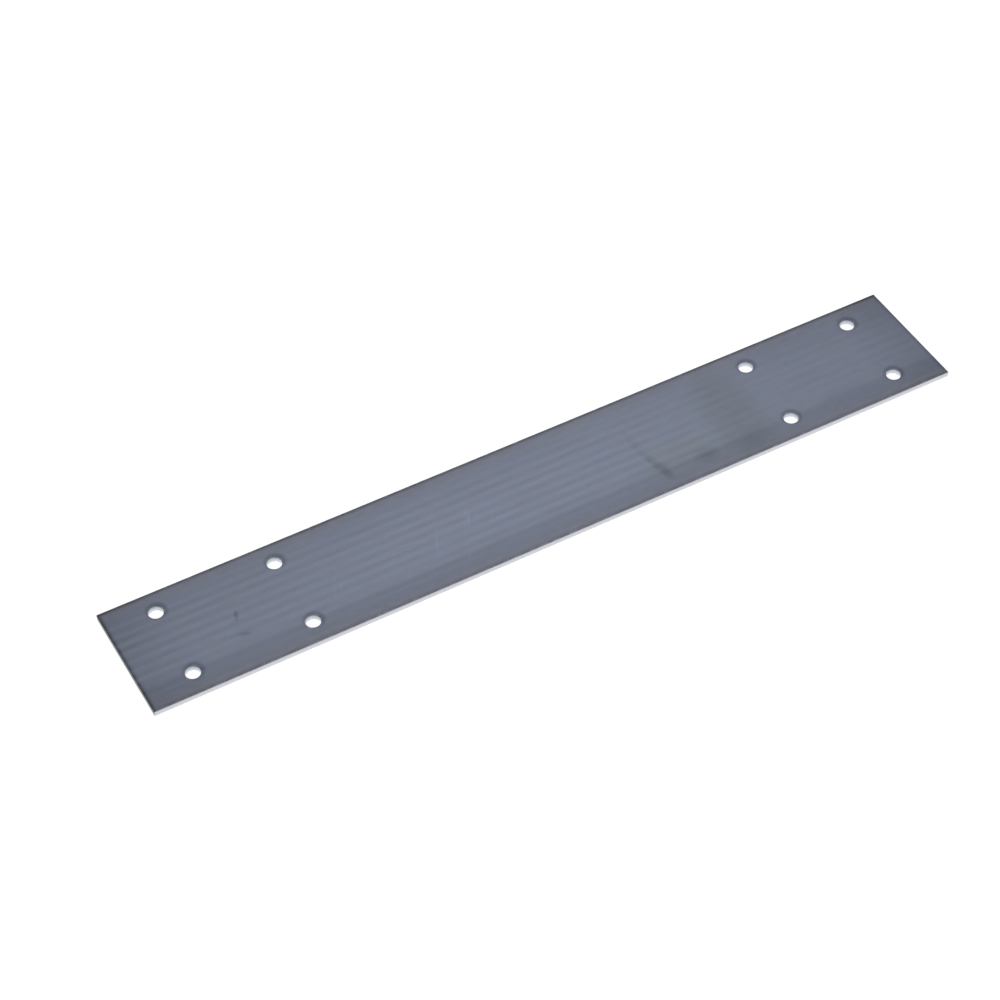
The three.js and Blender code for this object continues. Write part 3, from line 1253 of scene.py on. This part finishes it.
    # The gloss: satin, duller in the clouds and the border, and uneven with the grain.
    gloss = nodes.new("NodeFrame")
    gloss.label = "Gloss"
    dull_broad = nodes.new("ShaderNodeMath")
    dull_broad.label = "Broad streaks"
    dull_broad.operation = "MULTIPLY_ADD"
    dull_broad.inputs[1].default_value = 0.07
    dull_broad.inputs[2].default_value = 0.27
    dull_fine = nodes.new("ShaderNodeMath")
    dull_fine.label = "Hairlines"
    dull_fine.operation = "MULTIPLY_ADD"
    dull_fine.inputs[1].default_value = 0.08
    dull_small = nodes.new("ShaderNodeMath")
    dull_small.label = "Small clouds"
    dull_small.operation = "MULTIPLY_ADD"
    dull_small.inputs[1].default_value = 0.10
    dull_margin = nodes.new("ShaderNodeMath")
    dull_margin.label = "Border"
    dull_margin.operation = "MULTIPLY_ADD"
    dull_margin.inputs[1].default_value = 0.05
    dull_scratch = nodes.new("ShaderNodeMath")
    dull_scratch.label = "Scratches"
    dull_scratch.operation = "MULTIPLY_ADD"
    dull_scratch.inputs[1].default_value = -0.10
    dull_pit = nodes.new("ShaderNodeMath")
    dull_pit.label = "Pits"
    dull_pit.operation = "MULTIPLY_ADD"
    dull_pit.inputs[1].default_value = 0.25
    dull_rubbed = nodes.new("ShaderNodeMath")
    dull_rubbed.label = "Rubbed rims"
    dull_rubbed.operation = "MULTIPLY_ADD"
    dull_rubbed.inputs[1].default_value = -0.14
    for step, node in enumerate(
        (dull_broad, dull_fine, dull_small, dull_margin, dull_scratch, dull_pit, dull_rubbed)
    ):
        node.parent = gloss
        node.location = (2700 + 180 * step, -700)
    links.new(broad_grain.outputs["Fac"], dull_broad.inputs[0])
    links.new(fine_grain.outputs["Fac"], dull_fine.inputs[0])
    links.new(dull_broad.outputs["Value"], dull_fine.inputs[2])
    links.new(small_cloud.outputs["Fac"], dull_small.inputs[0])
    links.new(dull_fine.outputs["Value"], dull_small.inputs[2])
    links.new(margin.outputs["Result"], dull_margin.inputs[0])
    links.new(dull_small.outputs["Value"], dull_margin.inputs[2])
    links.new(scratch.outputs["Value"], dull_scratch.inputs[0])
    links.new(dull_margin.outputs["Value"], dull_scratch.inputs[2])
    links.new(pit.outputs["Result"], dull_pit.inputs[0])
    links.new(dull_scratch.outputs["Value"], dull_pit.inputs[2])
    links.new(rubbed.outputs["Result"], dull_rubbed.inputs[0])
    links.new(dull_pit.outputs["Value"], dull_rubbed.inputs[2])

    # The relief, in millimetres, which is far too shallow to model.
    relief = nodes.new("NodeFrame")
    relief.label = "Relief"
    high_lines = nodes.new("ShaderNodeMath")
    high_lines.label = "Straightener lines"
    high_lines.operation = "MULTIPLY"
    high_lines.inputs[1].default_value = 0.012
    high_broad = nodes.new("ShaderNodeMath")
    high_broad.label = "Broad streaks"
    high_broad.operation = "MULTIPLY_ADD"
    high_broad.inputs[1].default_value = 0.010
    high_fine = nodes.new("ShaderNodeMath")
    high_fine.label = "Hairlines"
    high_fine.operation = "MULTIPLY_ADD"
    high_fine.inputs[1].default_value = 0.004
    high_small = nodes.new("ShaderNodeMath")
    high_small.label = "Small clouds"
    high_small.operation = "MULTIPLY_ADD"
    high_small.inputs[1].default_value = 0.03
    high_scratch = nodes.new("ShaderNodeMath")
    high_scratch.label = "Scratches"
    high_scratch.operation = "MULTIPLY_ADD"
    high_scratch.inputs[1].default_value = -0.006
    high_pit = nodes.new("ShaderNodeMath")
    high_pit.label = "Pits"
    high_pit.operation = "MULTIPLY_ADD"
    high_pit.inputs[1].default_value = -0.03
    bump = nodes.new("ShaderNodeBump")
    bump.label = "Relief in millimetres"
    bump.inputs["Distance"].default_value = MM
    for step, node in enumerate(
        (high_lines, high_broad, high_fine, high_small, high_scratch, high_pit, bump)
    ):
        node.parent = relief
        node.location = (2700 + 180 * step, -1100)
    links.new(line_shade.outputs["Value"], high_lines.inputs[0])
    links.new(broad_grain.outputs["Fac"], high_broad.inputs[0])
    links.new(high_lines.outputs["Value"], high_broad.inputs[2])
    links.new(fine_grain.outputs["Fac"], high_fine.inputs[0])
    links.new(high_broad.outputs["Value"], high_fine.inputs[2])
    links.new(small_cloud.outputs["Fac"], high_small.inputs[0])
    links.new(high_fine.outputs["Value"], high_small.inputs[2])
    links.new(scratch.outputs["Value"], high_scratch.inputs[0])
    links.new(high_small.outputs["Value"], high_scratch.inputs[2])
    links.new(pit.outputs["Result"], high_pit.inputs[0])
    links.new(high_scratch.outputs["Value"], high_pit.inputs[2])
    links.new(high_pit.outputs["Value"], bump.inputs["Height"])

    shader = nodes.new("ShaderNodeBsdfPrincipled")
    shader.label = "Rolled steel"
    shader.location = (8300, -300)
    shader.inputs["Metallic"].default_value = 0.9
    output = nodes.new("ShaderNodeOutputMaterial")
    output.label = "Face"
    output.location = (8600, -300)
    links.new(shaded.outputs["Vector"], shader.inputs["Base Color"])
    links.new(dull_rubbed.outputs["Value"], shader.inputs["Roughness"])
    links.new(bump.outputs["Normal"], shader.inputs["Normal"])
    links.new(shader.outputs["BSDF"], output.inputs["Surface"])
    return material


def cut_edge_material(name, clean, torn, metallic, burnish_floor):
    """Sheared or punched steel: a smooth, scored band under the top rim, and torn metal below it."""
    material = bpy.data.materials.new(name)
    material.use_nodes = True
    nodes = material.node_tree.nodes
    links = material.node_tree.links
    nodes.clear()

    # Two patterns: scores that run down the cut, and the grain of torn metal.
    patterns = nodes.new("NodeFrame")
    patterns.label = "Scores and grain"
    point = nodes.new("ShaderNodeTexCoord")
    point.label = "Point on the plate"
    axes = nodes.new("ShaderNodeSeparateXYZ")
    axes.label = "Height in the cut"
    score_size = nodes.new("ShaderNodeMapping")
    score_size.label = "Size of the scores"
    score_size.vector_type = "TEXTURE"
    score_size.inputs["Scale"].default_value = (0.5 * MM, 0.5 * MM, 9 * MM)
    score = nodes.new("ShaderNodeTexNoise")
    score.label = "Scores down the cut"
    score.inputs["Scale"].default_value = 1.0
    score.inputs["Detail"].default_value = 3.0
    score.inputs["Roughness"].default_value = 0.65
    tear = nodes.new("ShaderNodeTexNoise")
    tear.label = "Torn grain"
    tear.inputs["Scale"].default_value = 1100.0
    tear.inputs["Detail"].default_value = 4.0
    tear.inputs["Roughness"].default_value = 0.65
    wave = nodes.new("ShaderNodeTexNoise")
    wave.label = "Where the tear starts"
    wave.inputs["Scale"].default_value = 260.0
    wave.inputs["Detail"].default_value = 4.0
    for step, node in enumerate((point, axes, score_size, score, tear, wave)):
        node.parent = patterns
        node.location = (180 * step, 0)
    links.new(point.outputs["Object"], axes.inputs["Vector"])
    links.new(point.outputs["Object"], score_size.inputs["Vector"])
    links.new(score_size.outputs["Vector"], score.inputs["Vector"])
    links.new(point.outputs["Object"], tear.inputs["Vector"])
    links.new(point.outputs["Object"], wave.inputs["Vector"])

    # The ragged line between the smooth band and the tear.
    divide = nodes.new("NodeFrame")
    divide.label = "Smooth above, torn below"
    ragged = nodes.new("ShaderNodeMath")
    ragged.label = "Ragged height"
    ragged.operation = "MULTIPLY_ADD"
    ragged.inputs[1].default_value = 1.3 * MM
    below = nodes.new("ShaderNodeMapRange")
    below.label = "Torn"
    below.interpolation_type = "SMOOTHSTEP"
    below.inputs["From Min"].default_value = burnish_floor + 0.80 * MM
    below.inputs["From Max"].default_value = burnish_floor + 0.50 * MM
    for step, node in enumerate((ragged, below)):
        node.parent = divide
        node.location = (180 * step, -320)
    links.new(wave.outputs["Fac"], ragged.inputs[0])
    links.new(axes.outputs["Z"], ragged.inputs[2])
    links.new(ragged.outputs["Value"], below.inputs["Value"])

    # The metal's colour in each half, uneven with that half's own pattern.
    colour = nodes.new("NodeFrame")
    colour.label = "Colour"
    smooth_tone = nodes.new("ShaderNodeMath")
    smooth_tone.label = "Tone of the scores"
    smooth_tone.operation = "MULTIPLY_ADD"
    smooth_tone.inputs[1].default_value = 0.24
    smooth_tone.inputs[2].default_value = 0.88
    torn_tone = nodes.new("ShaderNodeMath")
    torn_tone.label = "Tone of the tear"
    torn_tone.operation = "MULTIPLY_ADD"
    torn_tone.inputs[1].default_value = 0.36
    torn_tone.inputs[2].default_value = 0.82
    tone = nodes.new("ShaderNodeMix")
    tone.label = "Tone here"
    metal = nodes.new("ShaderNodeMix")
    metal.label = "Clean to torn"
    metal.data_type = "RGBA"
    metal.inputs["A"].default_value = (*clean, 1.0)
    metal.inputs["B"].default_value = (*torn, 1.0)
    shaded = nodes.new("ShaderNodeVectorMath")
    shaded.label = "Times the tone"
    shaded.operation = "SCALE"
    for step, node in enumerate((smooth_tone, torn_tone, tone, metal, shaded)):
        node.parent = colour
        node.location = (1300 + 180 * step, 0)
    links.new(score.outputs["Fac"], smooth_tone.inputs[0])
    links.new(tear.outputs["Fac"], torn_tone.inputs[0])
    links.new(below.outputs["Result"], tone.inputs["Factor"])
    links.new(smooth_tone.outputs["Value"], tone.inputs["A"])
    links.new(torn_tone.outputs["Value"], tone.inputs["B"])
    links.new(below.outputs["Result"], metal.inputs["Factor"])
    links.new(metal.outputs["Result"], shaded.inputs[0])
    links.new(tone.outputs["Result"], shaded.inputs["Scale"])

    # The gloss and the relief: polished scores above, coarse grain below.
    gloss = nodes.new("NodeFrame")
    gloss.label = "Gloss and relief"
    dull = nodes.new("ShaderNodeMapRange")
    dull.label = "Polished to dull"
    dull.inputs["To Min"].default_value = 0.26
    dull.inputs["To Max"].default_value = 0.55
    smooth_height = nodes.new("ShaderNodeMath")
    smooth_height.label = "Depth of the scores"
    smooth_height.operation = "MULTIPLY"
    smooth_height.inputs[1].default_value = 0.012
    torn_height = nodes.new("ShaderNodeMath")
    torn_height.label = "Depth of the tear"
    torn_height.operation = "MULTIPLY"
    torn_height.inputs[1].default_value = 0.09
    height = nodes.new("ShaderNodeMix")
    height.label = "Height here"
    bump = nodes.new("ShaderNodeBump")
    bump.label = "Relief in millimetres"
    bump.inputs["Distance"].default_value = MM
    for step, node in enumerate((dull, smooth_height, torn_height, height, bump)):
        node.parent = gloss
        node.location = (1300 + 180 * step, -320)
    links.new(below.outputs["Result"], dull.inputs["Value"])
    links.new(score.outputs["Fac"], smooth_height.inputs[0])
    links.new(tear.outputs["Fac"], torn_height.inputs[0])
    links.new(below.outputs["Result"], height.inputs["Factor"])
    links.new(smooth_height.outputs["Value"], height.inputs["A"])
    links.new(torn_height.outputs["Value"], height.inputs["B"])
    links.new(height.outputs["Result"], bump.inputs["Height"])

    shader = nodes.new("ShaderNodeBsdfPrincipled")
    shader.label = "Cut steel"
    shader.location = (2400, 0)
    shader.inputs["Metallic"].default_value = metallic
    output = nodes.new("ShaderNodeOutputMaterial")
    output.label = "Cut edge"
    output.location = (2700, 0)
    links.new(shaded.outputs["Vector"], shader.inputs["Base Color"])
    links.new(dull.outputs["Result"], shader.inputs["Roughness"])
    links.new(bump.outputs["Normal"], shader.inputs["Normal"])
    links.new(shader.outputs["BSDF"], output.inputs["Surface"])
    return material


# ---------------------------------------------------------------- the plate itself


class PLOW_OT_add_blade_plate(bpy.types.Operator):
    """Build the punched steel plate in place of its plain CAD solid"""

    bl_idname = "plow.add_blade_plate"
    bl_label = "Add Blade Plate"

    def execute(self, context):
        settings = context.scene.blade_plate
        cage = plate_cage(settings)
        mesh = bpy.data.meshes.new("punched_blade_plate")
        cage.to_mesh(mesh)
        cage.free()
        mesh.materials.append(rolled_face_material(settings))
        burnish_floor = THICKNESS - settings.rollover - settings.burnish
        for name, colour, torn_share, metallic in (
            ("slit_long_edge", settings.slit_colour, 1.20, 0.9),
            ("sheared_end", settings.end_colour, 0.85, 0.2),
            # The punched walls are darkened as painted shade of the hole's depth; the torn band below is
            # 1.55 times as light.
            ("punched_wall_painted_shade", settings.punched_shaded_colour, 1.55, 0.9),
        ):
            torn_colour = [torn_share * channel for channel in colour]
            mesh.materials.append(cut_edge_material(name, colour, torn_colour, metallic, burnish_floor))
        plate = bpy.data.objects.new("punched_blade_plate", mesh)
        context.scene.collection.objects.link(plate)
        smooth = plate.modifiers.new("Smooth rims and holes", "SUBSURF")
        smooth.levels = smooth.render_levels = settings.smoothing
        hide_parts(CAD_NODE)
        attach(plate, "root")
        return {"FINISHED"}


# ---------------------------------------------------------------- the stage


def pale_floor_material(settings):
    """Dull pale paint with light coming up through it, so that the floor stays white round the plate."""
    material = bpy.data.materials.new("pale_floor")
    material.use_nodes = True
    nodes = material.node_tree.nodes
    links = material.node_tree.links
    nodes.clear()
    shader = nodes.new("ShaderNodeBsdfPrincipled")
    shader.label = "Pale paint, lit from below"
    shader.location = (0, 0)
    shader.inputs["Base Color"].default_value = (*settings.floor_colour, 1.0)
    shader.inputs["Roughness"].default_value = 0.9
    shader.inputs["Specular IOR Level"].default_value = 0.0
    shader.inputs["Emission Color"].default_value = (1.0, 1.0, 1.0, 1.0)
    shader.inputs["Emission Strength"].default_value = settings.floor_glow
    output = nodes.new("ShaderNodeOutputMaterial")
    output.label = "Floor"
    output.location = (300, 0)
    links.new(shader.outputs["BSDF"], output.inputs["Surface"])
    return material


def add_floor(scene, settings):
    """A flat square that reaches far past the camera's view."""
    half_size = 12.0
    corners = [
        (-half_size, -half_size, 0.0),
        (half_size, -half_size, 0.0),
        (half_size, half_size, 0.0),
        (-half_size, half_size, 0.0),
    ]
    mesh = bpy.data.meshes.new("floor")
    mesh.from_pydata(corners, [], [(0, 1, 2, 3)])
    mesh.materials.append(pale_floor_material(settings))
    floor = bpy.data.objects.new("floor", mesh)
    scene.collection.objects.link(floor)


def light_room(scene, settings):
    """Even white light from all round, and two panels that face the plate."""
    world = bpy.data.worlds.new("soft_studio")
    world.use_nodes = True
    nodes = world.node_tree.nodes
    links = world.node_tree.links
    nodes.clear()
    background = nodes.new("ShaderNodeBackground")
    background.label = "Even white light"
    background.location = (0, 0)
    background.inputs["Color"].default_value = (1.0, 1.0, 1.0, 1.0)
    background.inputs["Strength"].default_value = settings.room_light
    output = nodes.new("ShaderNodeOutputWorld")
    output.label = "Room"
    output.location = (200, 0)
    links.new(background.outputs["Background"], output.inputs["Surface"])
    scene.world = world

    for name, power, size, place in (
        ("soft_panel", settings.panel_power, settings.panel_size, Vector(settings.panel_place)),
        ("weak_panel", settings.fill_power, settings.fill_size, Vector(settings.fill_place)),
    ):
        lamp = bpy.data.lights.new(name, "AREA")
        lamp.shape = "RECTANGLE"
        lamp.size, lamp.size_y = size
        lamp.energy = power
        panel = bpy.data.objects.new(name, lamp)
        scene.collection.objects.link(panel)
        panel.matrix_world = Matrix.LocRotScale(place, place.to_track_quat("Z", "Y"), None)
        panel.visible_camera = False


def add_camera(scene, settings):
    """A camera that looks at its aim from an azimuth, an elevation and a distance, a little rolled."""
    azimuth, elevation, roll = settings.azimuth, settings.elevation, settings.roll
    back = Vector(
        (
            math.sin(azimuth) * math.cos(elevation),
            -math.cos(azimuth) * math.cos(elevation),
            math.sin(elevation),
        )
    )
    right = Vector((0.0, 0.0, 1.0)).cross(back).normalized()
    up = back.cross(right)
    rolled_right = right * math.cos(roll) + up * math.sin(roll)
    rolled_up = up * math.cos(roll) - right * math.sin(roll)
    turn = Matrix((rolled_right, rolled_up, back)).transposed()
    place = Vector(settings.aim) + back * settings.distance

    data = bpy.data.cameras.new("camera")
    data.lens = settings.lens
    camera = bpy.data.objects.new("camera", data)
    scene.collection.objects.link(camera)
    camera.matrix_world = Matrix.LocRotScale(place, turn, None)
    scene.camera = camera


class PLOW_OT_add_stage(bpy.types.Operator):
    """Build the pale floor, the soft light and the camera"""

    bl_idname = "plow.add_stage"
    bl_label = "Add Stage"

    def execute(self, context):
        scene = context.scene
        settings = scene.blade_stage
        scene.view_settings.view_transform = "Standard"
        add_floor(scene, settings)
        light_room(scene, settings)
        add_camera(scene, settings)
        return {"FINISHED"}


# ---------------------------------------------------------------- the sidebar and the run


class PLOW_PT_blade(bpy.types.Panel):
    """The blade plate's pieces and stage, in the 3D view's sidebar."""

    bl_idname = "PLOW_PT_blade"
    bl_label = "Plow Blade"
    bl_space_type = "VIEW_3D"
    bl_region_type = "UI"
    bl_category = "Plow Blade"

    def draw(self, context):
        layout = self.layout
        for operator, settings in (
            (PLOW_OT_add_blade_plate, context.scene.blade_plate),
            (PLOW_OT_add_stage, context.scene.blade_stage),
        ):
            layout.operator(operator.bl_idname)
            for name in type(settings).__annotations__:
                layout.prop(settings, name)


CLASSES = (PlateSettings, StageSettings, PLOW_OT_add_blade_plate, PLOW_OT_add_stage, PLOW_PT_blade)


def register():
    for cls in CLASSES:
        bpy.utils.register_class(cls)
    bpy.types.Scene.blade_plate = PointerProperty(type=PlateSettings)
    bpy.types.Scene.blade_stage = PointerProperty(type=StageSettings)


def unregister():
    del bpy.types.Scene.blade_stage
    del bpy.types.Scene.blade_plate
    for cls in reversed(CLASSES):
        bpy.utils.unregister_class(cls)


def main():
    register()
    bpy.ops.plow.add_blade_plate()
    bpy.ops.plow.add_stage()


if __name__ == "__main__":
    main()
